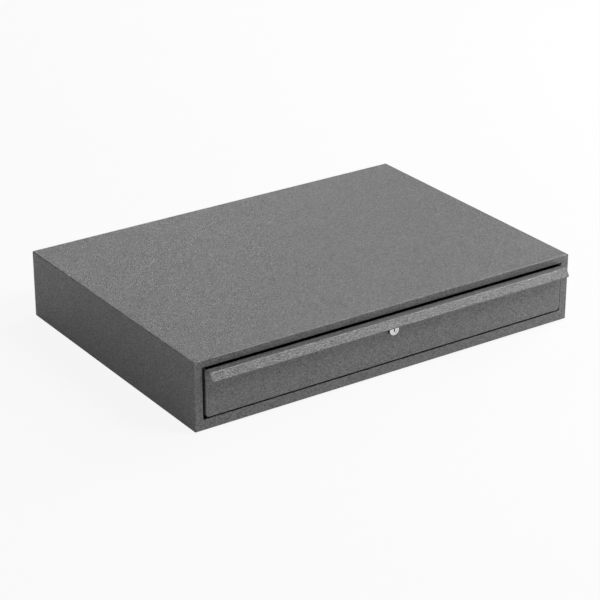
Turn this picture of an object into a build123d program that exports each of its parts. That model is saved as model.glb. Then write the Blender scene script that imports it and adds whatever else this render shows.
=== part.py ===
from build123d import *
import math
import os

# Bank teller deposit drawer: a flat sheet steel case with one wide drawer.
# Millimetres. +X right, -Y front, +Z up. The origin is on the ground, under the middle of the
# object's box, lip included.

# --- Case ------------------------------------------------------------------------------------
CASE_WIDTH = 635.0
CASE_DEPTH = 444.5
CASE_HEIGHT = 101.6
SHEET = 1.2  # sheet of the case, front and tray
CASE_BEND = 1.5  # outer radius of the folds between top and sides
FRAME_EDGE = 1.0  # rounded outer edge of the front frame
STILE_WIDTH = 12.7  # front frame beside the drawer
TOP_RAIL_HEIGHT = 10.9
BOTTOM_RAIL_HEIGHT = 15.0
JAMB_DEPTH = 12.0  # back edge of the opening's liner, behind the case's front
JAMB_BEND = 0.8  # rounded edge of the opening
FLANGE_WIDTH = 14.0  # strips that carry base and back
PANEL_GAP = 0.2  # seam round the base and the back
BASE_SCREW_PITCH = 130.0
BACK_SCREW_PITCH = 120.0
SIDE_ROW_INSET = 42.0  # ends of the screw rows along the sides, from the case's front and back
CROSS_ROW_INSET = 28.0  # ends of the rows across the case, from the opening's sides

# --- Feet and the holes for screws into a counter --------------------------------------------
FOOT_HEIGHT = 3.0
FOOT_RADIUS = 10.0
FOOT_TAPER = 1.0
FOOT_INSET = 32.0
MOUNT_HOLE_RADIUS = 3.25
MOUNT_SPACING_X = 482.6
MOUNT_SPACING_Y = 304.8

# --- Drawer front ----------------------------------------------------------------------------
FRONT_PROUD = 3.0  # face stands ahead of the case's frame
FRONT_SIDE_GAP = 2.6
FRONT_BOTTOM_GAP = 3.4
FRONT_TOP_GAP = 1.9
FRONT_CORNER = 5.0
FRONT_EDGE = 1.5
FRONT_RETURN = 10.0
LIP_SHELF = 11.5  # flat part of the pull, out from the face
LIP_DROP = 11.4
LIP_ANGLE = 30.4  # slope of the pull, from upright
LIP_HEM = 5.0
LIP_BEND = 2.0
LIP_TRIM = 1.5
FOLD_SHARE = 0.9  # part of the sheet that the hem's fold rounds
STUD_RADIUS = 2.0
STUD_LENGTH = 6.5
STUD_FROM_LOCK = 60.0
STUD_INSET = 32.2  # outer studs from the front's side edges
STUD_PITCH = 105.0
STUD_DROP = 22.0  # below the face's top edge
NUT_ACROSS = 7.0
NUT_HEIGHT = 3.2

# --- Tray ------------------------------------------------------------------------------------
TRAY_FLOOR_GAP = 0.3  # tray floor above the front's bottom return
TRAY_REAR_GAP = 16.3  # closed tray ahead of the case's back plane
TRAY_TOP_GAP = 6.5  # tray's rim below the top rail
HEM_HEIGHT = 6.0
TRAY_EDGE = 0.8  # rounded upright corners

# --- Slides: three members, two rows of balls at top and bottom ---------------------------------
SLIDE_SETBACK = 2.0  # slide's front end behind the jamb
SLIDE_REAR_GAP = 24.1  # slide's rear end ahead of the case's back plane
SLIDE_THICKNESS = 12.7
SLIDE_HEIGHT = 45.7
SLIDE_SIDE_GAP = 0.5  # slide inside the opening's side
SLIDE_SHEET = 1.2
SLIDE_LAYER_GAP = 0.4
SLIDE_LIP = 0.9
SLIDE_LIP_WIDTH = 0.8
SLIDE_MOUTH = 2.0  # outer and middle flanges end short of the tray
BALL_RADIUS = 1.5
BALL_PLAY = 0.05
BALL_COUNT = 8
CAGE_SHEET = 0.5
CAGE_STRIP = 1.0
CAGE_PLAY = 0.15
CAGE_END_GAP = 8.0
BRACKET_SHEET = 1.5
BRACKET_MARGIN = 2.0  # crown of the bracket beyond the slide, top and bottom
BRACKET_FOOT = 10.0

# --- Screws ----------------------------------------------------------------------------------
SCREW_RADIUS = 2.0
SCREW_HEAD_RADIUS = 3.6
SCREW_HEAD_HEIGHT = 1.4
SCREW_LENGTH = 4.0
SCREW_PLAY = 0.1
RECESS_LENGTH = 3.6
RECESS_WIDTH = 0.9
RECESS_DEPTH = 0.8
SLIDE_SCREW_COUNT = 4
SLIDE_SCREW_INSET = 24.0
RIVET_RADIUS = 1.6
RIVET_HEAD_RADIUS = 3.0
RIVET_HEAD_HEIGHT = 0.9
DOME_SHARE = 0.7  # part of a rivet head's height that is rounded

# --- Lock --------------------------------------------------------------------------------------
LOCK_DROP = 34.0  # lock's centre below the case's top
LOCK_HEAD_RADIUS = 7.95
LOCK_HEAD_OUT = 5.0
LOCK_HEAD_EDGE = 0.8
LOCK_BODY_RADIUS = 6.0
LOCK_HOLE_PLAY = 0.15
LOCK_FLAT = 5.0  # half the width over the body's two flats
PLUG_RADIUS = 4.8
PLUG_PLAY = 0.05
PLUG_RECESS = 0.3
KEYWAY_WIDTH = 1.8
KEYWAY_HEIGHT = 6.4
KEYWAY_DEPTH = 12.0
WASHER_RADIUS = 9.0
WASHER_THICKNESS = 0.8
LOCK_NUT_ACROSS = 16.0
LOCK_NUT_HEIGHT = 3.0
CAM_GAP = 1.5  # cam behind the keeper
CAM_THICKNESS = 2.0
CAM_WIDTH = 12.0
CAM_LENGTH = 28.0
CAM_SQUARE = 6.0
CAM_SCREW_RADIUS = 1.5
CAM_SCREW_LENGTH = 8.0
KEEPER_WIDTH = 60.0
KEEPER_SHEET = 1.5
KEEPER_TOP_GAP = 0.3
KEEPER_RIVET_SPACING = 44.0

# --- Bumpers -----------------------------------------------------------------------------------
BUMPER_RADIUS = 8.0
BUMPER_PLACE = 200.0
BUMPER_GAP = 0.3
BUMPER_EDGE = 1.5

# --- Dividers ----------------------------------------------------------------------------------
DIVIDER_LOCK_GAP = 2.26  # dividers below the lock's nut
DIVIDER_SHEET = 1.2
DIVIDER_SLOT = 1.6
DIVIDER_PLAY = 0.2
DIVIDER_CORNER = 4.0
COLUMN_COUNT = 6
SLOTS_PER_COLUMN = 4
CROSS_DIVIDER_PLACE = 190.0  # behind the tray's front wall
STRIP_DROP = 5.0  # slotted strips below the dividers' top edge
STRIP_DEPTH = 6.0
STRIP_SLOT_DEPTH = 4.0
STRIP_RIVET_COUNT = 3

# --- How close an edge lies to a plane to be picked with it -------------------------------------
NEAR = 0.01

# --- Levels and planes that follow from the sizes above ----------------------------------------
lip_angle = math.radians(LIP_ANGLE)
lip_slope = LIP_DROP * math.tan(lip_angle)
lip_round = SHEET * (math.cos(lip_angle) + math.sin(lip_angle) - 1)  # lost at the rounded edge
lip_reach = FRONT_PROUD + LIP_SHELF + lip_slope - lip_round

case_side = CASE_WIDTH / 2
case_inner = case_side - SHEET
case_front = (lip_reach - SCREW_HEAD_HEIGHT - CASE_DEPTH) / 2  # screw heads stand out behind
case_back = case_front + CASE_DEPTH
case_middle_y = (case_front + case_back) / 2
case_bottom = FOOT_HEIGHT
case_top = case_bottom + CASE_HEIGHT
case_ceiling = case_top - SHEET

opening_side = case_side - STILE_WIDTH
opening_bottom = case_bottom + BOTTOM_RAIL_HEIGHT
opening_top = case_top - TOP_RAIL_HEIGHT
jamb_back = case_front + JAMB_DEPTH

face_y = case_front - FRONT_PROUD
front_side = opening_side - FRONT_SIDE_GAP
front_bottom = opening_bottom + FRONT_BOTTOM_GAP
front_top = opening_top - FRONT_TOP_GAP
stud_z = front_top - STUD_DROP

tray_front = face_y + SHEET
tray_back = case_back - TRAY_REAR_GAP
tray_bottom = front_bottom + SHEET + TRAY_FLOOR_GAP
tray_floor = tray_bottom + SHEET
tray_rim = opening_top - TRAY_TOP_GAP

slide_wall = opening_side - SLIDE_SIDE_GAP  # outer face of the slide, seat on the bracket
tray_side = slide_wall - SLIDE_THICKNESS
tray_inner = tray_side - SHEET
slide_front = jamb_back + SLIDE_SETBACK
slide_back = case_back - SLIDE_REAR_GAP
slide_length = slide_back - slide_front
slide_z = (tray_bottom + tray_rim) / 2

# Slide section: u runs from the bracket (0) to the tray (SLIDE_THICKNESS), v up from slide_z.
outer_cage_u = SLIDE_SHEET + SCREW_HEAD_HEIGHT + SLIDE_LAYER_GAP
middle_u = outer_cage_u + CAGE_SHEET + SLIDE_LAYER_GAP
inner_cage_u = middle_u + SLIDE_SHEET + SLIDE_LAYER_GAP
inner_u = inner_cage_u + CAGE_SHEET + SLIDE_LAYER_GAP
mouth_u = SLIDE_THICKNESS - SLIDE_MOUTH
race = 2 * (BALL_RADIUS + BALL_PLAY)
outer_v = SLIDE_HEIGHT / 2
outer_ball_v = outer_v - SLIDE_SHEET - race / 2
middle_v = outer_v - SLIDE_SHEET - race
inner_ball_v = middle_v - SLIDE_SHEET - race / 2
inner_v = middle_v - SLIDE_SHEET - race
outer_ball_u = middle_u + BALL_RADIUS + CAGE_SHEET
inner_ball_u = inner_u + BALL_RADIUS + BALL_PLAY

lock_z = case_top - LOCK_DROP
keeper_back = jamb_back
keeper_seat = opening_top + SHEET
keeper_rivet_y = (case_front + SHEET + keeper_back - KEEPER_SHEET) / 2
keeper_rivet_xs = (-KEEPER_RIVET_SPACING / 2, KEEPER_RIVET_SPACING / 2)
cam_front = keeper_back + CAM_GAP
lock_nut_reach = LOCK_NUT_ACROSS / math.sqrt(3)
divider_top = lock_z - lock_nut_reach - DIVIDER_LOCK_GAP
strip_top = divider_top - STRIP_DROP
half_lap = (tray_floor + divider_top) / 2
column_pitch = 2 * tray_inner / COLUMN_COUNT
slot_pitch = column_pitch / SLOTS_PER_COLUMN
cross_y = tray_front + SHEET + CROSS_DIVIDER_PLACE


def block(x0, x1, y0, y1, z0, z1):
    """A box between two corners."""
    size = (x1 - x0, y1 - y0, z1 - z0)
    middle = ((x0 + x1) / 2, (y0 + y1) / 2, (z0 + z1) / 2)
    return Pos(*middle) * Box(*size)


def facing(x, y, z, direction):
    """Where a turned piece goes whose own +Z is to point along the direction."""
    upright = (1, 0, 0) if abs(direction[0]) < 0.5 else (0, 1, 0)
    return Plane(origin=(x, y, z), x_dir=upright, z_dir=direction).location


def rod(radius, x, y0, y1, z):
    """A round bar along Y."""
    return facing(x, y0, z, (0, 1, 0)) * Cylinder(
        radius, y1 - y0, align=(Align.CENTER, Align.CENTER, Align.MIN)
    )


def mirrored(shape):
    """The same piece for the other side of the object."""
    return mirror(shape, about=Plane.YZ)


def write(name, shape):
    """One piece, one file."""
    export_step(shape, f"parts/{name}.step")


def write_group(name, shapes):
    """Identical small pieces that share one file."""
    export_step(Compound(children=[Part(s.wrapped) for s in shapes]), f"parts/{name}.step")


def pan_screw(length=SCREW_LENGTH):
    """Cross-recessed pan head screw. The head's seat is at 0 and the head points to +Z."""
    head = Cylinder(
        SCREW_HEAD_RADIUS, SCREW_HEAD_HEIGHT, align=(Align.CENTER, Align.CENTER, Align.MIN)
    )
    rim = head.edges().filter_by(GeomType.CIRCLE).sort_by(Axis.Z)[-1]
    head = fillet(rim, SCREW_HEAD_HEIGHT / 2)
    for size in ((RECESS_LENGTH, RECESS_WIDTH), (RECESS_WIDTH, RECESS_LENGTH)):
        slot = Pos(0, 0, SCREW_HEAD_HEIGHT) * Box(*size, 2 * RECESS_DEPTH)
        head -= slot
    shank = Cylinder(SCREW_RADIUS, length, align=(Align.CENTER, Align.CENTER, Align.MAX))
    return head + shank


def dome_rivet(length):
    """Dome head rivet. The head's seat is at 0 and the head points to +Z."""
    head = Cylinder(
        RIVET_HEAD_RADIUS, RIVET_HEAD_HEIGHT, align=(Align.CENTER, Align.CENTER, Align.MIN)
    )
    rim = head.edges().filter_by(GeomType.CIRCLE).sort_by(Axis.Z)[-1]
    head = fillet(rim, RIVET_HEAD_HEIGHT * DOME_SHARE)
    return head + Cylinder(RIVET_RADIUS, length, align=(Align.CENTER, Align.CENTER, Align.MAX))


def hex_nut(across, height, bore):
    """Hexagon nut on the ground plane, axis up."""
    face = RegularPolygon(across / 2, 6, major_radius=False) - Circle(bore)
    return extrude(face, height)


def spread(first, last, pitch):
    """Even places from first to last, about one pitch apart."""
    steps = max(1, round((last - first) / pitch))
    return [first + (last - first) * i / steps for i in range(steps + 1)]


# --- Places that several pieces share ----------------------------------------------------------
stud_half = spread(STUD_FROM_LOCK, front_side - STUD_INSET, STUD_PITCH)
stud_xs = [-x for x in reversed(stud_half)] + stud_half
flange_middle = SHEET + FLANGE_WIDTH / 2
cross_row = opening_side - CROSS_ROW_INSET
base_side_ys = spread(case_front + SIDE_ROW_INSET, case_back - SIDE_ROW_INSET, BASE_SCREW_PITCH)
base_front_xs = spread(-cross_row, cross_row, BASE_SCREW_PITCH)
base_screws = [(s * (case_side - flange_middle), y) for s in (-1, 1) for y in base_side_ys]
base_screws += [(x, case_front + flange_middle) for x in base_front_xs]
back_top_xs = spread(-cross_row, cross_row, BACK_SCREW_PITCH)
back_top_z = case_top - flange_middle
back_bottom_z = case_bottom + flange_middle
back_screws = [(x, z) for x in back_top_xs for z in (back_bottom_z, back_top_z)]


def screw_holes_up(places):
    """Clearance holes along Z through base and strip."""
    holes = Part()
    for x, y in places:
        holes += Pos(x, y, case_bottom) * Cylinder(SCREW_RADIUS + SCREW_PLAY, 6 * SHEET)
    return holes


def screw_holes_back(places):
    """Clearance holes along Y through back and strip."""
    holes = Part()
    for x, z in places:
        holes += rod(SCREW_RADIUS + SCREW_PLAY, x, case_back - 6 * SHEET, case_back + SHEET, z)
    return holes


def keeper_bores():
    """Rivet holes through the keeper and the liner below it."""
    bores = Part()
    for x in keeper_rivet_xs:
        bores += Pos(x, keeper_rivet_y, keeper_seat) * Cylinder(RIVET_RADIUS + SCREW_PLAY, 4 * SHEET)
    return bores


def case_wrap(y0, y1):
    """The case's outer shape between two planes: square below, folded corners at the top."""
    wrap = block(-case_side, case_side, y0, y1, case_bottom, case_top)
    along = wrap.edges().filter_by(Axis.Y).group_by(Axis.Z)[-1]
    return fillet(along, CASE_BEND)


def case_shell():
    """Top and sides, folded from one sheet."""
    front = case_front + SHEET
    inside = block(-case_inner, case_inner, front, case_back, case_bottom, case_ceiling)
    return case_wrap(front, case_back) - inside


def front_frame():
    """Flat frame round the drawer, welded to top and sides and ground flush."""
    back = case_front + SHEET
    frame = case_wrap(case_front, back)
    outer = frame.edges().group_by(Axis.Y)[0]
    frame = fillet(outer.filter_by(lambda e: e.center().Z > case_bottom + NEAR), FRAME_EDGE)
    frame -= block(-opening_side, opening_side, case_front, back, opening_bottom, opening_top)
    edges = frame.edges().filter_by_position(Axis.Y, case_front - NEAR, case_front + NEAR)
    mouth = edges.filter_by(
        lambda e: abs(e.center().X) < opening_side + NEAR
        and opening_bottom - NEAR < e.center().Z < opening_top + NEAR
    )
    return fillet(mouth, JAMB_BEND)


def opening_liner():
    """Four-sided return behind the frame, flush with the opening's edges."""
    front = case_front + SHEET
    side = opening_side + SHEET
    liner = block(-side, side, front, jamb_back, opening_bottom - SHEET, opening_top + SHEET)
    liner -= block(-opening_side, opening_side, front, jamb_back, opening_bottom, opening_top)
    return liner - keeper_bores()


def base_frame():
    """Flat strip along front and sides that the floor is screwed to."""
    low = case_bottom + SHEET
    inner = case_inner - FLANGE_WIDTH
    front = case_front + SHEET
    rear = case_back - 2 * SHEET
    frame = block(-case_inner, case_inner, front, rear, low, low + SHEET)
    frame -= block(-inner, inner, front + FLANGE_WIDTH, rear, low, low + SHEET)
    return frame - screw_holes_up(base_screws)


def rear_frame():
    """Flat strip along top and sides that the back is screwed to."""
    low = case_bottom + SHEET
    inner = case_inner - FLANGE_WIDTH
    rear = case_back - 2 * SHEET
    frame = block(-case_inner, case_inner, rear, rear + SHEET, low, case_ceiling)
    frame -= block(-inner, inner, rear, rear + SHEET, low, case_ceiling - FLANGE_WIDTH)
    return frame - screw_holes_back([p for p in back_screws if p[1] > slide_z])


def base_pan():
    """Floor of the case, flush between its sides, with an upright rear flange."""
    side = case_inner - PANEL_GAP
    rear = case_back - SHEET
    front = case_front + SHEET + PANEL_GAP
    pan = block(-side, side, front, rear, case_bottom, case_bottom + SHEET)
    flange_side = case_inner - FLANGE_WIDTH - PANEL_GAP
    pan += block(
        -flange_side, flange_side, rear - SHEET, rear, case_bottom, case_bottom + SHEET + FLANGE_WIDTH
    )
    pan -= screw_holes_up(base_screws)
    pan -= screw_holes_back([p for p in back_screws if p[1] < slide_z])
    hole = Cylinder(MOUNT_HOLE_RADIUS, 4 * SHEET)
    for sx in (-1, 1):
        for sy in (-1, 1):
            y = case_middle_y + sy * MOUNT_SPACING_Y / 2
            pan -= Pos(sx * MOUNT_SPACING_X / 2, y, case_bottom) * hole
    return pan


def back_panel():
    """Flat back, flush between the sides and screwed to strip and floor."""
    side = case_inner - PANEL_GAP
    panel = block(
        -side, side, case_back - SHEET, case_back, case_bottom, case_ceiling - PANEL_GAP
    )
    return panel - screw_holes_back(back_screws)


def rubber_foot():
    """Stuck-on foot, its widest end up."""
    foot = Cylinder(FOOT_RADIUS, FOOT_HEIGHT, align=(Align.CENTER, Align.CENTER, Align.MAX))
    rim = foot.edges().filter_by(GeomType.CIRCLE).sort_by(Axis.Z)[0]
    return chamfer(rim, FOOT_TAPER)


def rubber_feet():
    places = []
    for sx in (-1, 1):
        for sy in (-1, 1):
            x = sx * (case_side - FOOT_INSET)
            y = case_middle_y + sy * (CASE_DEPTH / 2 - FOOT_INSET)
            places.append(Pos(x, y, case_bottom) * rubber_foot())
    return places


def section(points, y0, y1):
    """A slide member or bracket: its section, as (u, v) points, run from y0 to y1."""
    corners = [(slide_wall - u, slide_z + v) for u, v in points]
    face = Plane.XZ * make_face(Polyline(*corners, close=True))
    solid = extrude(face, amount=y1 - y0, dir=(0, 1, 0))
    return Pos(0, y0, 0) * solid


def channel(u_web, u_lip, v, lip):
    """Section of a member: web at u_web, flanges at +v and -v that end at u_lip, with lips.

    A positive lip turns outwards and a negative one inwards; 0 leaves it off.
    """
    t = math.copysign(SLIDE_SHEET, u_lip - u_web)
    w = math.copysign(SLIDE_LIP_WIDTH, u_lip - u_web)
    top = [(u_web, v), (u_lip, v), (u_lip, v - SLIDE_SHEET), (u_web + t, v - SLIDE_SHEET)]
    if lip > 0:
        top = [(u_web, v), (u_lip - w, v), (u_lip - w, v + lip), (u_lip, v + lip)] + top[2:]
    if lip < 0:
        floor = v - SLIDE_SHEET
        curl = [(u_lip, floor + lip), (u_lip - w, floor + lip), (u_lip - w, floor)]
        top = top[:2] + curl + top[3:]
    return top + [(u, -v_) for u, v_ in reversed(top)]


def outer_screw_ys():
    step = (slide_length - 2 * SLIDE_SCREW_INSET) / (SLIDE_SCREW_COUNT - 1)
    return [slide_front + SLIDE_SCREW_INSET + i * step for i in range(SLIDE_SCREW_COUNT)]


def screw_bores_x(x0, x1):
    """Clearance holes along X for the slide screws."""
    bores = Part()
    for y in outer_screw_ys():
        bore = Cylinder(
            SCREW_RADIUS + SCREW_PLAY, x1 - x0, align=(Align.CENTER, Align.CENTER, Align.MIN)
        )
        bores += facing(x0, y, slide_z, (1, 0, 0)) * bore
    return bores


def slide_bracket():
    """Hat section that fills the space between the side and the slide."""
    crown = SLIDE_HEIGHT / 2 + BRACKET_MARGIN
    depth = -(case_inner - slide_wall)
    t = BRACKET_SHEET
    half = [
        (0, 0),
        (0, crown),
        (depth + t, crown),
        (depth + t, crown + BRACKET_FOOT),
        (depth, crown + BRACKET_FOOT),
        (depth, crown - t),
        (-t, crown - t),
        (-t, 0),
    ]
    points = half + [(u, -v) for u, v in reversed(half)][1:-1]
    return section(points, slide_front, slide_back) - screw_bores_x(
        slide_wall - SLIDE_SHEET, case_inner
    )


def outer_slide():
    """Fixed member, screwed to the bracket, its mouth towards the tray."""
    return section(channel(0, mouth_u, outer_v, -SLIDE_LIP), slide_front, slide_back) - screw_bores_x(
        slide_wall - 2 * SLIDE_SHEET, slide_wall + SLIDE_SHEET
    )


def middle_slide():
    """Middle member, which travels half as far as the drawer."""
    return section(channel(middle_u, mouth_u, middle_v, SLIDE_LIP), slide_front, slide_back)


def inner_slide():
    """Moving member, screwed to the tray, its flanges towards the bracket."""
    member = section(channel(SLIDE_THICKNESS, inner_u, inner_v, 0), slide_front, slide_back)
    return member - screw_bores_x(tray_side - SHEET, tray_side + 2 * SLIDE_SHEET)


cage_length = slide_length / 2 - 2 * CAGE_END_GAP
cage_front = (slide_front + slide_back - cage_length) / 2
ball_ys = [cage_front + cage_length * (i + 0.5) / BALL_COUNT for i in range(BALL_COUNT)]


def ball_cage(u_web, u_ball, v_ball):
    """Ball retainer: thin web with a strip at top and bottom that carries the balls."""
    u_end = u_ball + BALL_RADIUS
    over = v_ball + CAGE_STRIP / 2
    under = v_ball - CAGE_STRIP / 2
    top = [(u_web, over), (u_end, over), (u_end, under), (u_web + CAGE_SHEET, under)]
    cage = section(top + [(u, -v) for u, v in reversed(top)], cage_front, cage_front + cage_length)
    for place in ball_places(u_ball, v_ball):
        cage -= place * Sphere(BALL_RADIUS + CAGE_PLAY)
    return cage


def ball_places(u_ball, v_ball):
    return [
        Pos(slide_wall - u_ball, y, slide_z + side * v_ball) for y in ball_ys for side in (-1, 1)
    ]


def balls(u_ball, v_ball):
    """The balls of both slides, right and left."""
    right = [place * Sphere(BALL_RADIUS) for place in ball_places(u_ball, v_ball)]
    return right + [mirrored(ball) for ball in right]


def slide_screws(x_seat, direction):
    """The screws of both slides, with their heads' seats at x_seat."""
    screws = [facing(x_seat, y, slide_z, (direction, 0, 0)) * pan_screw() for y in outer_screw_ys()]
    return screws + [mirrored(screw) for screw in screws]


def face_outline(inset):
    """The drawer front as seen from ahead: square at the top, round corners at the bottom."""
    side = front_side - inset
    low = front_bottom + inset
    r = FRONT_CORNER - inset
    corner = r * (1 - math.cos(math.pi / 4))
    left = [(-side, front_top), (-side, low + r)]
    outline = Polyline(*left)
    outline += ThreePointArc((-side, low + r), (-side + corner, low + corner), (-side + r, low))
    outline += Line((-side + r, low), (side - r, low))
    outline += ThreePointArc((side - r, low), (side - corner, low + corner), (side, low + r))
    outline += Polyline((side, low + r), (side, front_top), (-side, front_top))
    return Plane.XZ * make_face(outline)


def lip_section():
    """Side view of the pull: flat shelf, sloping grip and a closed hem inside its edge."""
    down = Vector(-math.sin(lip_angle), -math.cos(lip_angle))
    inward = Vector(math.cos(lip_angle), -math.sin(lip_angle))
    back = Vector(tray_front, front_top)
    nose = Vector(face_y - LIP_SHELF, front_top)
    tip = nose + down * (LIP_DROP / math.cos(lip_angle))
    bend = SHEET * (1 - math.sin(lip_angle)) / math.cos(lip_angle)
    under = Vector(nose.X + bend, front_top - SHEET)
    hem_top = tip - down * LIP_HEM + inward * 2 * SHEET
    hem_root = tip - down * LIP_HEM + inward * SHEET
    corners = [
        back,
        nose,
        tip,
        tip + inward * 2 * SHEET,
        hem_top,
        hem_root,
        under,
        Vector(face_y, front_top - SHEET),
        Vector(face_y, front_top - 3 * SHEET),
        Vector(tray_front, front_top - 3 * SHEET),
    ]
    outline = make_face(Polyline(*[(p.X, p.Y) for p in corners], close=True))
    rounds = ((nose, LIP_BEND), (under, LIP_BEND - SHEET), (tip, SHEET), (back, LIP_BEND))
    rounds += ((corners[7], LIP_BEND - SHEET), (corners[3], SHEET * FOLD_SHARE))
    for point, radius in rounds:
        vertex = outline.vertices().sort_by_distance((point.X, point.Y, 0))[0]
        outline = fillet(vertex, radius)
    return outline


def drawer_front():
    """Front of the drawer with its full width pull, one sheet folded forward at the top."""
    face = extrude(face_outline(0), amount=FRONT_RETURN, dir=(0, 1, 0))
    rim = face.edges().group_by(Axis.Y)[0].filter_by(lambda e: e.center().Z < front_top - NEAR)
    face = fillet(rim, FRONT_EDGE)
    hollow = Pos(0, SHEET, 0) * extrude(face_outline(SHEET), amount=FRONT_RETURN, dir=(0, 1, 0))
    face = Pos(0, face_y, 0) * (face - hollow)
    above = front_top + SHEET
    face -= block(-front_side, front_side, face_y - SHEET, tray_front, front_top - 2 * SHEET, above)
    lip = extrude(Plane.YZ * lip_section(), amount=front_side, both=True)
    front = face + lip

    low = front_top - LIP_DROP
    tip_y = face_y - LIP_SHELF - lip_slope
    for side in (-1, 1):
        cutter = Pos(side * front_side, tip_y, low) * Rot(0, 45, 0)
        front -= cutter * Box(LIP_TRIM * math.sqrt(2), 4 * LIP_TRIM + 2 * SHEET, LIP_TRIM * math.sqrt(2))
    for x in stud_xs:
        front += rod(STUD_RADIUS, x, face_y + SHEET / 2, tray_front + STUD_LENGTH, stud_z)
    return front - rod(LOCK_BODY_RADIUS + LOCK_HOLE_PLAY, 0, face_y - SHEET, tray_front + SHEET, lock_z)


strip_rivet_z = (tray_floor + strip_top) / 2
strip_rivet_xs = [
    slot_pitch / 2 + (i - (STRIP_RIVET_COUNT - 1) / 2) * 2 * column_pitch
    for i in range(STRIP_RIVET_COUNT)
]


def strip_bores(y0, y1):
    """Rivet holes along Y through a slotted strip or the wall behind it."""
    bores = Part()
    for x in strip_rivet_xs:
        bores += rod(RIVET_RADIUS + SCREW_PLAY, x, y0, y1, strip_rivet_z)
    return bores


def tray_floor_panel():
    """Floor of the tray, welded in between its four walls."""
    front = tray_front + SHEET
    return block(-tray_inner, tray_inner, front, tray_back - SHEET, tray_bottom, tray_floor)


def tray_side_panel():
    """Right side of the tray, its rim hemmed inwards, which the slide carries."""
    side = block(tray_inner, tray_side, tray_front, tray_back, tray_bottom, tray_rim)
    side = fillet(side.edges().filter_by(Axis.Z).group_by(Axis.X)[-1], TRAY_EDGE)
    front = tray_front + SHEET
    rear = tray_back - 2 * SHEET
    side += block(tray_inner - SHEET, tray_inner, front, rear, tray_rim - HEM_HEIGHT, tray_rim)
    return side - screw_bores_x(tray_inner - SHEET, tray_side + SHEET)


def tray_front_panel():
    """Front wall of the tray, which drawer front, lock and slotted strip are fixed to."""
    rear = tray_front + SHEET
    wall = block(-tray_inner, tray_inner, tray_front, rear, tray_bottom, tray_rim)
    wall -= rod(LOCK_BODY_RADIUS + LOCK_HOLE_PLAY, 0, tray_front, rear, lock_z)
    for x in stud_xs:
        wall -= rod(STUD_RADIUS + SCREW_PLAY, x, tray_front, rear, stud_z)
    return wall - strip_bores(tray_front, rear)


def tray_rear_panel():
    """Rear wall of the tray, its rim hemmed forwards."""
    front = tray_back - SHEET
    wall = block(-tray_inner, tray_inner, front, tray_back, tray_bottom, tray_rim)
    wall += block(-tray_inner, tray_inner, front - SHEET, front, tray_rim - HEM_HEIGHT, tray_rim)
    return wall - strip_bores(front, tray_back)


def front_nuts():
    """Nuts on the studs behind the drawer front."""
    nut = hex_nut(NUT_ACROSS, NUT_HEIGHT, STUD_RADIUS + SCREW_PLAY)
    return [facing(x, tray_front + SHEET, stud_z, (0, 1, 0)) * nut for x in stud_xs]


def lock_housing():
    """Chromed barrel with a plain round head and two flats."""
    head = rod(LOCK_HEAD_RADIUS, 0, face_y - LOCK_HEAD_OUT, face_y, lock_z)
    rim = head.edges().filter_by(GeomType.CIRCLE).sort_by(Axis.Y)[0]
    head = fillet(rim, LOCK_HEAD_EDGE)
    barrel = rod(LOCK_BODY_RADIUS, 0, face_y, cam_front - SLIDE_LAYER_GAP, lock_z)
    barrel &= block(
        -LOCK_FLAT, LOCK_FLAT, face_y, cam_front, lock_z - LOCK_HEAD_RADIUS, lock_z + LOCK_HEAD_RADIUS
    )
    bore = rod(PLUG_RADIUS + PLUG_PLAY, 0, face_y - LOCK_HEAD_OUT, cam_front, lock_z)
    return head + barrel - bore


def lock_washer():
    """Plain washer between tray and nut."""
    ring = extrude(Circle(WASHER_RADIUS) - Circle(LOCK_BODY_RADIUS + LOCK_HOLE_PLAY), WASHER_THICKNESS)
    return facing(0, tray_front + SHEET, lock_z, (0, 1, 0)) * ring


def lock_nut():
    """Nut that clamps the lock in the sheet."""
    nut = hex_nut(LOCK_NUT_ACROSS, LOCK_NUT_HEIGHT, LOCK_BODY_RADIUS + LOCK_HOLE_PLAY)
    return facing(0, tray_front + SHEET + WASHER_THICKNESS, lock_z, (0, 1, 0)) * nut


def lock_plug():
    """Turning plug with an upright keyway and a square end for the cam."""
    start = face_y - LOCK_HEAD_OUT + PLUG_RECESS
    plug = rod(PLUG_RADIUS, 0, start, cam_front, lock_z)
    half = CAM_SQUARE / 2
    plug += block(-half, half, cam_front, cam_front + CAM_THICKNESS, lock_z - half, lock_z + half)
    plug -= block(
        -KEYWAY_WIDTH / 2,
        KEYWAY_WIDTH / 2,
        start,
        start + KEYWAY_DEPTH,
        lock_z - KEYWAY_HEIGHT / 2,
        lock_z + KEYWAY_HEIGHT / 2,
    )
    end = cam_front + CAM_THICKNESS
    return plug - rod(CAM_SCREW_RADIUS + SCREW_PLAY, 0, end - CAM_SCREW_LENGTH, end, lock_z)


def lock_cam():
    """Flat cam. It points left when unlocked and turns up behind the keeper to lock."""
    outline = SlotCenterToCenter(CAM_LENGTH - CAM_WIDTH / 2, CAM_WIDTH)
    plate = Pos(-(CAM_LENGTH - CAM_WIDTH / 2) / 2, 0) * outline
    plate -= Rectangle(CAM_SQUARE + SCREW_PLAY, CAM_SQUARE + SCREW_PLAY)
    return Pos(0, cam_front, lock_z) * extrude(Plane.XZ * plate, amount=CAM_THICKNESS, dir=(0, 1, 0))


def cam_screw():
    """Screw that holds the cam on the plug."""
    end = cam_front + CAM_THICKNESS
    head = rod(SCREW_HEAD_RADIUS + SCREW_HEAD_HEIGHT, 0, end, end + SCREW_HEAD_HEIGHT, lock_z)
    low = lock_z - RECESS_WIDTH / 2
    head -= block(-CAM_WIDTH, CAM_WIDTH, end + RECESS_DEPTH, end + CAM_WIDTH, low, low + RECESS_WIDTH)
    return head + rod(CAM_SCREW_RADIUS, 0, end - CAM_SCREW_LENGTH + SCREW_PLAY, end, lock_z)


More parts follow.
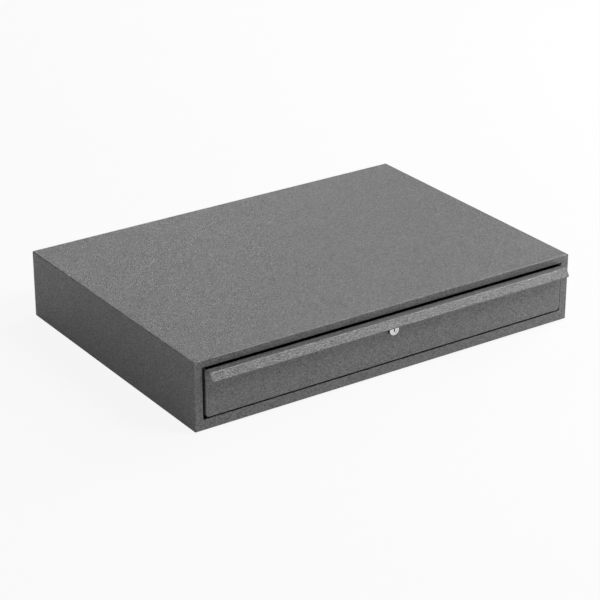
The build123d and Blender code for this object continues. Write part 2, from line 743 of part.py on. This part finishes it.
def lock_keeper():
    """Angle on the liner's top side that the cam turns up behind."""
    side = KEEPER_WIDTH / 2
    front = case_front + SHEET + PANEL_GAP
    keeper = block(-side, side, front, keeper_back, keeper_seat, keeper_seat + KEEPER_SHEET)
    keeper += block(
        -side, side, keeper_back - KEEPER_SHEET, keeper_back, keeper_seat, case_ceiling - KEEPER_TOP_GAP
    )
    return keeper - keeper_bores()


def keeper_rivets():
    """Rivets through keeper and liner, heads inside the rail."""
    rivet = dome_rivet(KEEPER_SHEET + SHEET)
    return [Pos(x, keeper_rivet_y, keeper_seat + KEEPER_SHEET) * rivet for x in keeper_rivet_xs]


def rear_bumpers():
    """Rubber buffers on the back panel that meet the closed tray."""
    y0 = tray_back + BUMPER_GAP
    bumpers = []
    for side in (-1, 1):
        bumper = rod(BUMPER_RADIUS, side * BUMPER_PLACE, y0, case_back - SHEET, slide_z)
        rim = bumper.edges().filter_by(GeomType.CIRCLE).sort_by(Axis.Y)[0]
        bumpers.append(fillet(rim, BUMPER_EDGE))
    return bumpers


column_xs = [(i + 1 - COLUMN_COUNT / 2) * column_pitch for i in range(COLUMN_COUNT - 1)]


def divider_strip(y_wall, way):
    """Slotted strip inside a tray wall that holds the dividers' ends."""
    ends = sorted((y_wall, y_wall + way * STRIP_DEPTH))
    side = tray_inner - DIVIDER_PLAY
    strip = block(-side, side, *ends, tray_floor, strip_top)
    root = y_wall + way * (STRIP_DEPTH - STRIP_SLOT_DEPTH)
    slot_ends = sorted((root, y_wall + way * STRIP_DEPTH))
    slots = COLUMN_COUNT * SLOTS_PER_COLUMN
    for i in range(1, slots):
        x = -tray_inner + i * slot_pitch
        strip -= block(
            x - DIVIDER_SLOT / 2, x + DIVIDER_SLOT / 2, *slot_ends, tray_floor, strip_top
        )
    return strip - strip_bores(*ends)


def strip_rivets():
    """Rivets that hold both slotted strips to the tray."""
    rivets = []
    for y_wall, way in ((tray_front + SHEET, 1), (tray_back - SHEET, -1)):
        seat = y_wall + way * STRIP_DEPTH
        for x in strip_rivet_xs:
            rivet = dome_rivet(STRIP_DEPTH + SHEET)
            rivets.append(facing(x, seat, strip_rivet_z, (0, way, 0)) * rivet)
    return rivets


def cross_divider():
    """Divider across the tray, slotted from above where the long ones cross it."""
    side = tray_inner - DIVIDER_PLAY
    y0 = cross_y - DIVIDER_SHEET / 2
    plate = block(-side, side, y0, y0 + DIVIDER_SHEET, tray_floor, divider_top)
    for x in column_xs:
        plate -= block(
            x - DIVIDER_SLOT / 2, x + DIVIDER_SLOT / 2, y0, y0 + DIVIDER_SHEET, half_lap, divider_top
        )
    return plate


def long_divider(x):
    """Divider from front to back, slotted from below where it crosses the other."""
    reach = STRIP_DEPTH - STRIP_SLOT_DEPTH + DIVIDER_PLAY
    y0 = tray_front + SHEET + reach
    y1 = tray_back - SHEET - reach
    half = DIVIDER_SHEET / 2
    plate = block(x - half, x + half, y0, y1, tray_floor, divider_top)
    corners = plate.edges().filter_by(Axis.X).group_by(Axis.Z)[-1]
    plate = fillet(corners, DIVIDER_CORNER)
    return plate - block(
        x - half,
        x + half,
        cross_y - DIVIDER_SLOT / 2,
        cross_y + DIVIDER_SLOT / 2,
        tray_floor,
        half_lap + DIVIDER_PLAY,
    )


os.makedirs("parts", exist_ok=True)

write("case_shell", case_shell())
write("front_frame", front_frame())
write("opening_liner", opening_liner())
write("base_frame", base_frame())
write("rear_frame", rear_frame())
write("base_pan", base_pan())
write("back_panel", back_panel())
write_group(
    "base_screws", [facing(x, y, case_bottom, (0, 0, -1)) * pan_screw() for x, y in base_screws]
)
write_group(
    "back_screws", [facing(x, case_back, z, (0, 1, 0)) * pan_screw() for x, z in back_screws]
)
write_group("rubber_feet", rubber_feet())
write_group("rear_bumpers", rear_bumpers())
write("lock_keeper", lock_keeper())
write_group("keeper_rivets", keeper_rivets())

for name, piece in (
    ("slide_bracket", slide_bracket()),
    ("outer_slide", outer_slide()),
    ("middle_slide", middle_slide()),
    ("inner_slide", inner_slide()),
    ("outer_ball_cage", ball_cage(outer_cage_u, outer_ball_u, outer_ball_v)),
    ("inner_ball_cage", ball_cage(inner_cage_u, inner_ball_u, inner_ball_v)),
    ("tray_side_panel", tray_side_panel()),
):
    write(f"{name}_right", piece)
    write(f"{name}_left", mirrored(piece))
write_group("outer_balls", balls(outer_ball_u, outer_ball_v))
write_group("inner_balls", balls(inner_ball_u, inner_ball_v))
write_group("outer_slide_screws", slide_screws(slide_wall - SLIDE_SHEET, -1))
write_group("inner_slide_screws", slide_screws(tray_side + SLIDE_SHEET, 1))

write("drawer_front", drawer_front())
write("tray_floor_panel", tray_floor_panel())
write("tray_front_panel", tray_front_panel())
write("tray_rear_panel", tray_rear_panel())
write_group("front_nuts", front_nuts())
write("front_divider_strip", divider_strip(tray_front + SHEET, 1))
write("rear_divider_strip", divider_strip(tray_back - SHEET, -1))
write_group("strip_rivets", strip_rivets())
write("cross_divider", cross_divider())
for number, x in enumerate(column_xs, 1):
    write(f"long_divider_{number}", long_divider(x))

write("lock_housing", lock_housing())
write("lock_washer", lock_washer())
write("lock_nut", lock_nut())
write("lock_plug", lock_plug())
write("lock_cam", lock_cam())
write("cam_screw", cam_screw())
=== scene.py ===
import math
import bpy
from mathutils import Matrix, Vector


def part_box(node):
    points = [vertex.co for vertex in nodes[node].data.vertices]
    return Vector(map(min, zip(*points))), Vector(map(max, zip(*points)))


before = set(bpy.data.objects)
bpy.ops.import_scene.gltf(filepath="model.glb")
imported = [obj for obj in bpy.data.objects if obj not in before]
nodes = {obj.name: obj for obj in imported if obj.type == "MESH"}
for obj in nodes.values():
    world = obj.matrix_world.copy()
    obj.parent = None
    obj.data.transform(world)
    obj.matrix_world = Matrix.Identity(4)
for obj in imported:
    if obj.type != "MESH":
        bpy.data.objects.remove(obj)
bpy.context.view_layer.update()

MM = 0.001

# --- Case shell -----------------------------------------------------------------------------------
# Top and both sides, folded from one 1.2 mm steel sheet, sprayed with dark grey polyester powder
# and stoved. The coat is granular, and fine metal flake in it gives a soft metallic sheen, so that
# it lightens where it mirrors a lamp and darkens where it mirrors the next piece.


def linear(hex_colour):
    """An sRGB hex colour as linear RGBA."""
    parts = [int(hex_colour[i:i + 2], 16) / 255 for i in (1, 3, 5)]
    return [p / 12.92 if p <= 0.04045 else ((p + 0.055) / 1.055) ** 2.4 for p in parts] + [1.0]


def add(material, kind, sockets=None, **options):
    """A shader node with its options, and each socket set to a value or fed by another output."""
    node = material.node_tree.nodes.new(kind)
    for name, value in options.items():
        setattr(node, name, value)
    for name, value in (sockets or {}).items():
        if isinstance(value, bpy.types.NodeSocket):
            material.node_tree.links.new(value, node.inputs[name])
        else:
            node.inputs[name].default_value = value
    return node


def new_finish(name):
    """An empty material and its output node."""
    material = bpy.data.materials.new(name)
    material.use_nodes = True
    material.node_tree.nodes.clear()
    return material, add(material, "ShaderNodeOutputMaterial")


def coat(material, *names):
    """Gives these CAD pieces the material."""
    for name in names:
        slots = nodes[name].data.materials
        slots.clear()
        slots.append(material)


powder, powder_out = new_finish("textured_powder_coat")
POWDER_GRAIN = 1.5 * MM  # real grains are near 0.5 mm, drawn coarser so that they show
GRAIN_RISE = 0.5 * MM  # from the seam round a grain to its top
GRAIN_REACH = 0.8  # how far out a grain slopes, as a share of the grain size
POWDER_CLOUD = 60 * MM  # slow drift in the film's thickness
FLAKE_SHARE = 0.55  # part of the coat that mirrors like metal
powder_place = add(powder, "ShaderNodeTexCoord")
powder_grain = add(
    powder,
    "ShaderNodeTexVoronoi",
    {"Vector": powder_place.outputs["Object"], "Scale": 1 / POWDER_GRAIN},
)
powder_flake = add(powder, "ShaderNodeSeparateColor", {"Color": powder_grain.outputs["Color"]})
powder_cloud = add(
    powder,
    "ShaderNodeTexNoise",
    {"Vector": powder_place.outputs["Object"], "Scale": 1 / POWDER_CLOUD, "Detail": 2.0},
)
powder_relief = add(
    powder,
    "ShaderNodeMapRange",
    {
        "Value": powder_grain.outputs["Distance"],
        "From Min": 0.0,
        "From Max": GRAIN_REACH,
        "To Min": 1.0,
        "To Max": 0.0,
    },
)
powder_tone = add(
    powder,
    "ShaderNodeMix",
    {"Factor": powder_flake.outputs["Red"], "A": linear("#686868"), "B": linear("#959595")},
    data_type="RGBA",
)
powder_bump = add(
    powder,
    "ShaderNodeBump",
    {"Height": powder_relief.outputs["Result"], "Strength": 1.0, "Distance": GRAIN_RISE},
)
powder_shine = add(
    powder,
    "ShaderNodeMapRange",
    {"Value": powder_cloud.outputs["Fac"], "To Min": 0.36, "To Max": 0.46},
)
powder_skin = add(
    powder,
    "ShaderNodeBsdfPrincipled",
    {
        "Base Color": powder_tone.outputs["Result"],
        "Roughness": powder_shine.outputs["Result"],
        "Metallic": FLAKE_SHARE,
        "Normal": powder_bump.outputs["Normal"],
    },
)
powder.node_tree.links.new(powder_skin.outputs["BSDF"], powder_out.inputs["Surface"])
coat(powder, "case_shell")

# --- Front frame and opening liner ----------------------------------------------------------------
# The frame round the drawer is cut from the same sheet, welded to top and sides and ground flush.
# The liner behind it stiffens the opening. Both went through the powder oven with the shell.
coat(powder, "front_frame", "opening_liner")

# --- Base and back --------------------------------------------------------------------------------
# Flat panels with the same powder, screwed from outside to strips inside the shell.
coat(powder, "base_frame", "rear_frame", "base_pan", "back_panel")

# --- Screws of base and back ----------------------------------------------------------------------
# Pan head steel screws, blackened in a hot salt bath: nearly black, with a faint oily shine.
black, black_out = new_finish("black_oxide_steel")
BLACK_MOTTLE = 1.2 * MM
black_place = add(black, "ShaderNodeTexCoord")
black_mottle = add(
    black,
    "ShaderNodeTexNoise",
    {"Vector": black_place.outputs["Object"], "Scale": 1 / BLACK_MOTTLE, "Detail": 3.0},
)
black_tone = add(
    black,
    "ShaderNodeMix",
    {"Factor": black_mottle.outputs["Fac"], "A": linear("#161616"), "B": linear("#2a2927")},
    data_type="RGBA",
)
black_shine = add(
    black,
    "ShaderNodeMapRange",
    {"Value": black_mottle.outputs["Fac"], "To Min": 0.34, "To Max": 0.5},
)
black_skin = add(
    black,
    "ShaderNodeBsdfPrincipled",
    {
        "Base Color": black_tone.outputs["Result"],
        "Metallic": 0.6,
        "Roughness": black_shine.outputs["Result"],
    },
)
black.node_tree.links.new(black_skin.outputs["BSDF"], black_out.inputs["Surface"])
coat(black, "base_screws", "back_screws")

# --- Feet and bumpers -----------------------------------------------------------------------------
# Moulded black rubber: four low stuck-on feet and two buffers behind the tray. Matt, with a
# slight bloom on the skin.
rubber, rubber_out = new_finish("moulded_rubber")
RUBBER_GRIT = 0.6 * MM
rubber_place = add(rubber, "ShaderNodeTexCoord")
rubber_grit = add(
    rubber,
    "ShaderNodeTexNoise",
    {"Vector": rubber_place.outputs["Object"], "Scale": 1 / RUBBER_GRIT, "Detail": 3.0},
)
rubber_tone = add(
    rubber,
    "ShaderNodeMix",
    {"Factor": rubber_grit.outputs["Fac"], "A": linear("#191919"), "B": linear("#262626")},
    data_type="RGBA",
)
rubber_bump = add(
    rubber,
    "ShaderNodeBump",
    {"Height": rubber_grit.outputs["Fac"], "Strength": 0.3, "Distance": 0.1 * MM},
)
rubber_skin = add(
    rubber,
    "ShaderNodeBsdfPrincipled",
    {
        "Base Color": rubber_tone.outputs["Result"],
        "Roughness": 0.85,
        "Normal": rubber_bump.outputs["Normal"],
    },
)
rubber.node_tree.links.new(rubber_skin.outputs["BSDF"], rubber_out.inputs["Surface"])
coat(rubber, "rubber_feet", "rear_bumpers")

# --- Slides, their brackets and the keeper --------------------------------------------------------
# Cold rolled steel strip, roll formed lengthways and bright zinc plated: a pale metal with fine
# drawn lines along its length and a faint cloudiness from the plating.
zinc, zinc_out = new_finish("zinc_plated_strip")
ROLL_LINE = 0.8 * MM  # spacing of the roll marks, drawn wide enough to show
ROLL_LENGTH = 180 * MM
ZINC_CLOUD = 14 * MM
zinc_place = add(zinc, "ShaderNodeTexCoord")
zinc_stretch = add(
    zinc,
    "ShaderNodeMapping",
    {"Vector": zinc_place.outputs["Object"], "Scale": (1 / ROLL_LINE, 1 / ROLL_LENGTH, 1 / ROLL_LINE)},
)
zinc_lines = add(
    zinc, "ShaderNodeTexNoise", {"Vector": zinc_stretch.outputs["Vector"], "Scale": 1.0, "Detail": 3.0}
)
zinc_cloud = add(
    zinc,
    "ShaderNodeTexNoise",
    {"Vector": zinc_place.outputs["Object"], "Scale": 1 / ZINC_CLOUD, "Detail": 2.0},
)
zinc_tone = add(
    zinc,
    "ShaderNodeMix",
    {"Factor": zinc_cloud.outputs["Fac"], "A": linear("#b4b8bb"), "B": linear("#cdd0d0")},
    data_type="RGBA",
)
zinc_shine = add(
    zinc,
    "ShaderNodeMapRange",
    {"Value": zinc_lines.outputs["Fac"], "To Min": 0.26, "To Max": 0.44},
)
zinc_bump = add(
    zinc,
    "ShaderNodeBump",
    {"Height": zinc_lines.outputs["Fac"], "Strength": 0.2, "Distance": 0.05 * MM},
)
zinc_skin = add(
    zinc,
    "ShaderNodeBsdfPrincipled",
    {
        "Base Color": zinc_tone.outputs["Result"],
        "Metallic": 1.0,
        "Roughness": zinc_shine.outputs["Result"],
        "Normal": zinc_bump.outputs["Normal"],
    },
)
zinc.node_tree.links.new(zinc_skin.outputs["BSDF"], zinc_out.inputs["Surface"])
for side in ("right", "left"):
    coat(zinc, f"slide_bracket_{side}", f"outer_slide_{side}", f"middle_slide_{side}")
    coat(zinc, f"inner_slide_{side}", f"outer_ball_cage_{side}", f"inner_ball_cage_{side}")
coat(zinc, "lock_keeper")

# --- Balls ----------------------------------------------------------------------------------------
# Hardened bearing steel, ground and polished, with a film of grease.
ball, ball_out = new_finish("polished_bearing_steel")
GREASE_FILM = 1.0 * MM
ball_place = add(ball, "ShaderNodeTexCoord")
ball_film = add(
    ball,
    "ShaderNodeTexNoise",
    {"Vector": ball_place.outputs["Object"], "Scale": 1 / GREASE_FILM, "Detail": 1.0},
)
ball_shine = add(
    ball, "ShaderNodeMapRange", {"Value": ball_film.outputs["Fac"], "To Min": 0.06, "To Max": 0.2}
)
ball_skin = add(
    ball,
    "ShaderNodeBsdfPrincipled",
    {"Base Color": linear("#c9cacc"), "Metallic": 1.0, "Roughness": ball_shine.outputs["Result"]},
)
ball.node_tree.links.new(ball_skin.outputs["BSDF"], ball_out.inputs["Surface"])
coat(ball, "outer_balls", "inner_balls")

# --- Rivets, slide screws, nuts and the cam -------------------------------------------------------
# Small zinc plated steel hardware, barrel plated: duller than the strip, with tumbling marks.
barrel, barrel_out = new_finish("barrel_plated_zinc")
TUMBLE_MARK = 0.9 * MM
barrel_place = add(barrel, "ShaderNodeTexCoord")
barrel_marks = add(
    barrel,
    "ShaderNodeTexNoise",
    {"Vector": barrel_place.outputs["Object"], "Scale": 1 / TUMBLE_MARK, "Detail": 3.0},
)
barrel_tone = add(
    barrel,
    "ShaderNodeMix",
    {"Factor": barrel_marks.outputs["Fac"], "A": linear("#a3a49f"), "B": linear("#c6c7c3")},
    data_type="RGBA",
)
barrel_shine = add(
    barrel,
    "ShaderNodeMapRange",
    {"Value": barrel_marks.outputs["Fac"], "To Min": 0.3, "To Max": 0.5},
)
barrel_skin = add(
    barrel,
    "ShaderNodeBsdfPrincipled",
    {
        "Base Color": barrel_tone.outputs["Result"],
        "Metallic": 1.0,
        "Roughness": barrel_shine.outputs["Result"],
    },
)
barrel.node_tree.links.new(barrel_skin.outputs["BSDF"], barrel_out.inputs["Surface"])
coat(barrel, "keeper_rivets", "outer_slide_screws", "inner_slide_screws", "strip_rivets", "front_nuts")
coat(barrel, "lock_washer", "lock_nut", "lock_cam", "cam_screw")

# --- Tray -----------------------------------------------------------------------------------------
# Five sheet steel panels welded into an open box and powder coated with the rest.
coat(powder, "tray_floor_panel", "tray_side_panel_right", "tray_side_panel_left")
coat(powder, "tray_front_panel", "tray_rear_panel")

# --- Slotted strips -------------------------------------------------------------------------------
# Injection moulded black ABS, riveted inside the tray's front and rear walls. A spark eroded mould
# leaves a fine even grain.
abs_black, abs_out = new_finish("moulded_abs")
SPARK_GRAIN = 0.7 * MM
abs_place = add(abs_black, "ShaderNodeTexCoord")
abs_grain = add(
    abs_black,
    "ShaderNodeTexNoise",
    {"Vector": abs_place.outputs["Object"], "Scale": 1 / SPARK_GRAIN, "Detail": 2.0},
)
abs_tone = add(
    abs_black,
    "ShaderNodeMix",
    {"Factor": abs_grain.outputs["Fac"], "A": linear("#1c1c1d"), "B": linear("#28282a")},
    data_type="RGBA",
)
abs_bump = add(
    abs_black,
    "ShaderNodeBump",
    {"Height": abs_grain.outputs["Fac"], "Strength": 0.25, "Distance": 0.06 * MM},
)
abs_skin = add(
    abs_black,
    "ShaderNodeBsdfPrincipled",
    {"Base Color": abs_tone.outputs["Result"], "Roughness": 0.48, "Normal": abs_bump.outputs["Normal"]},
)
abs_black.node_tree.links.new(abs_skin.outputs["BSDF"], abs_out.inputs["Surface"])
coat(abs_black, "front_divider_strip", "rear_divider_strip")

# --- Dividers -------------------------------------------------------------------------------------
# Loose sheet steel plates, powder coated, that drop into the strips and into each other.
coat(powder, "cross_divider", *[n for n in nodes if n.startswith("long_divider")])

# --- Drawer front with its pull -------------------------------------------------------------------
# One sheet with shallow returns, its top edge folded forward into a full width pull with a hem.
coat(powder, "drawer_front")

# --- Lock -----------------------------------------------------------------------------------------
# Cam lock cast in zinc. Its face is chromed and polished; the side of its head is painted black, as
# painted shade and painted dark reflection on a side turned away from the lamps.
chrome, chrome_out = new_finish("chromed_zinc_casting")
CHROME_WRAP = 0.4 * MM  # how far the chrome reaches back from the face
CAP_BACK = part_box("lock_housing")[0].y + CHROME_WRAP
POLISH_MARK = 0.5 * MM
chrome_place = add(chrome, "ShaderNodeTexCoord")
chrome_marks = add(
    chrome,
    "ShaderNodeTexNoise",
    {"Vector": chrome_place.outputs["Object"], "Scale": 1 / POLISH_MARK, "Detail": 2.0},
)
chrome_shine = add(
    chrome,
    "ShaderNodeMapRange",
    {"Value": chrome_marks.outputs["Fac"], "To Min": 0.1, "To Max": 0.2},
)
chrome_axes = add(chrome, "ShaderNodeSeparateXYZ", {"Vector": chrome_place.outputs["Object"]})
# Behind the chrome face the side of the head is marked for painted shade.
lock_side_shade_mask = add(
    chrome,
    "ShaderNodeMath",
    {0: chrome_axes.outputs["Y"], 1: CAP_BACK},
    operation="GREATER_THAN",
)
chrome_face = add(
    chrome,
    "ShaderNodeBsdfPrincipled",
    {"Base Color": linear("#e9e9e9"), "Metallic": 1.0, "Roughness": chrome_shine.outputs["Result"]},
)
# Matt black on the side of the head: painted shade and painted dark reflection.
lock_side_painted_shade = add(
    chrome,
    "ShaderNodeBsdfPrincipled",
    {"Base Color": linear("#0c0c0c"), "Roughness": 0.6},
)
chrome_mix = add(
    chrome,
    "ShaderNodeMixShader",
    {0: lock_side_shade_mask.outputs["Value"], 1: chrome_face.outputs["BSDF"], 2: lock_side_painted_shade.outputs["BSDF"]},
)
chrome.node_tree.links.new(chrome_mix.outputs["Shader"], chrome_out.inputs["Surface"])
coat(chrome, "lock_housing", "lock_plug")

# --- Floor and backdrop ---------------------------------------------------------------------------
# A plain white studio floor, large enough to fill the view. It looks nearly plain white to the
# camera, while reflections show more of the lit paper. Both keep the object's shadow.
paper, paper_out = new_finish("studio_paper")
SEEN_WHITE = 0.9  # share of plain white that the camera sees, the rest is the lit paper
MIRRORED_WHITE = 0.3  # the same share in reflections, where the paper's shadows matter more
paper_path = add(paper, "ShaderNodeLightPath")
paper_mirrored = add(
    paper,
    "ShaderNodeMath",
    {0: paper_path.outputs["Is Glossy Ray"], 1: MIRRORED_WHITE},
    operation="MULTIPLY",
)
paper_seen = add(
    paper,
    "ShaderNodeMath",
    {0: paper_path.outputs["Is Camera Ray"], 1: paper_path.outputs["Is Transmission Ray"]},
    operation="MAXIMUM",
)
paper_direct = add(
    paper, "ShaderNodeMath", {0: paper_seen.outputs["Value"], 1: SEEN_WHITE}, operation="MULTIPLY"
)
paper_share = add(
    paper,
    "ShaderNodeMath",
    {0: paper_direct.outputs["Value"], 1: paper_mirrored.outputs["Value"]},
    operation="MAXIMUM",
)
paper_white = add(paper, "ShaderNodeEmission", {"Color": linear("#ffffff"), "Strength": 1.0})
paper_matt = add(paper, "ShaderNodeBsdfDiffuse", {"Color": linear("#f0f0f0")})
paper_mix = add(
    paper,
    "ShaderNodeMixShader",
    {0: paper_share.outputs["Value"], 1: paper_matt.outputs["BSDF"], 2: paper_white.outputs["Emission"]},
)
paper.node_tree.links.new(paper_mix.outputs["Shader"], paper_out.inputs["Surface"])
FLOOR_SIZE = 14.0
bpy.ops.mesh.primitive_plane_add(size=FLOOR_SIZE, location=(0, 0, 0))
floor = bpy.context.object
floor.name = "studio_floor"
floor.data.materials.append(paper)

# --- Studio light ---------------------------------------------------------------------------------
# Soft boxes, each with its place, size and power: the strong ones high at the front right and low
# at the right, weak ones behind and overhead. The room round them is dim, and white where seen.
room = bpy.data.worlds.new("studio_room")
bpy.context.scene.world = room
room.use_nodes = True
room.node_tree.nodes.clear()
room_out = add(room, "ShaderNodeOutputWorld")
room_path = add(room, "ShaderNodeLightPath")
room_seen = add(
    room,
    "ShaderNodeMath",
    {0: room_path.outputs["Is Camera Ray"], 1: room_path.outputs["Is Transmission Ray"]},
    operation="MAXIMUM",
)
room_mirrored = add(
    room,
    "ShaderNodeMath",
    {0: room_path.outputs["Is Glossy Ray"], 1: MIRRORED_WHITE},
    operation="MULTIPLY",
)
room_share = add(
    room,
    "ShaderNodeMath",
    {0: room_seen.outputs["Value"], 1: room_mirrored.outputs["Value"]},
    operation="MAXIMUM",
)
ROOM_DIM = 0.03  # the room's own light on the object
room_strength = add(
    room, "ShaderNodeMath", {0: room_share.outputs["Value"], 1: ROOM_DIM}, operation="MAXIMUM"
)
room_glow = add(
    room,
    "ShaderNodeBackground",
    {"Color": linear("#ffffff"), "Strength": room_strength.outputs["Value"]},
)
room.node_tree.links.new(room_glow.outputs["Background"], room_out.inputs["Surface"])

SOFT_BOXES = {
    "front_box": ((1.2, -1.6, 2.2), 1.0, 47.7),
    "right_box": ((2.4, 0.2, 1.2), 1.4, 40.2),
    "back_box": ((1.0, 2.0, 1.3), 0.8, 6.8),
    "back_left_box": ((0.2, 2.4, 1.3), 0.8, 3.3),
    "overhead_box": ((0.0, 0.3, 2.4), 2.4, 3.0),
}
LIT_POINT = Vector((0, 0, 50 * MM))  # the case's middle, which every box faces
for name, (place, size, power) in SOFT_BOXES.items():
    lamp = bpy.data.lights.new(name, "AREA")
    lamp.shape = "SQUARE"
    lamp.size = size
    lamp.energy = power
    box = bpy.data.objects.new(name, lamp)
    box.location = place
    box.rotation_euler = (LIT_POINT - Vector(place)).to_track_quat("-Z", "Y").to_euler()
    bpy.context.scene.collection.objects.link(box)

# --- Camera ---------------------------------------------------------------------------------------
# Three metres off with a long lens, turned to the drawer's left and looking down on it.
AIM = Vector((0, 9.673 * MM, 53.8 * MM))
TURN = math.radians(-34.2337)
TILT = math.radians(24.0557)
DISTANCE = 3.1455
SENSOR_WIDTH = 36.0  # sensor and focal length in millimetres, as a lens is named
FOCAL_LENGTH = 129.68
SHIFT_RIGHT = -0.00035  # shifts are shares of the picture's width
SHIFT_UP = -0.02545
back = Vector((math.sin(TURN) * math.cos(TILT), -math.cos(TURN) * math.cos(TILT), math.sin(TILT)))
lens = bpy.data.cameras.new("photo_camera")
lens.sensor_width = SENSOR_WIDTH
lens.lens = FOCAL_LENGTH
lens.shift_x = SHIFT_RIGHT
lens.shift_y = SHIFT_UP
camera = bpy.data.objects.new("photo_camera", lens)
camera.location = AIM + DISTANCE * back
camera.rotation_euler = (-back).to_track_quat("-Z", "Y").to_euler()
bpy.context.scene.collection.objects.link(camera)
bpy.context.scene.camera = camera
bpy.context.scene.view_settings.view_transform = "Standard"
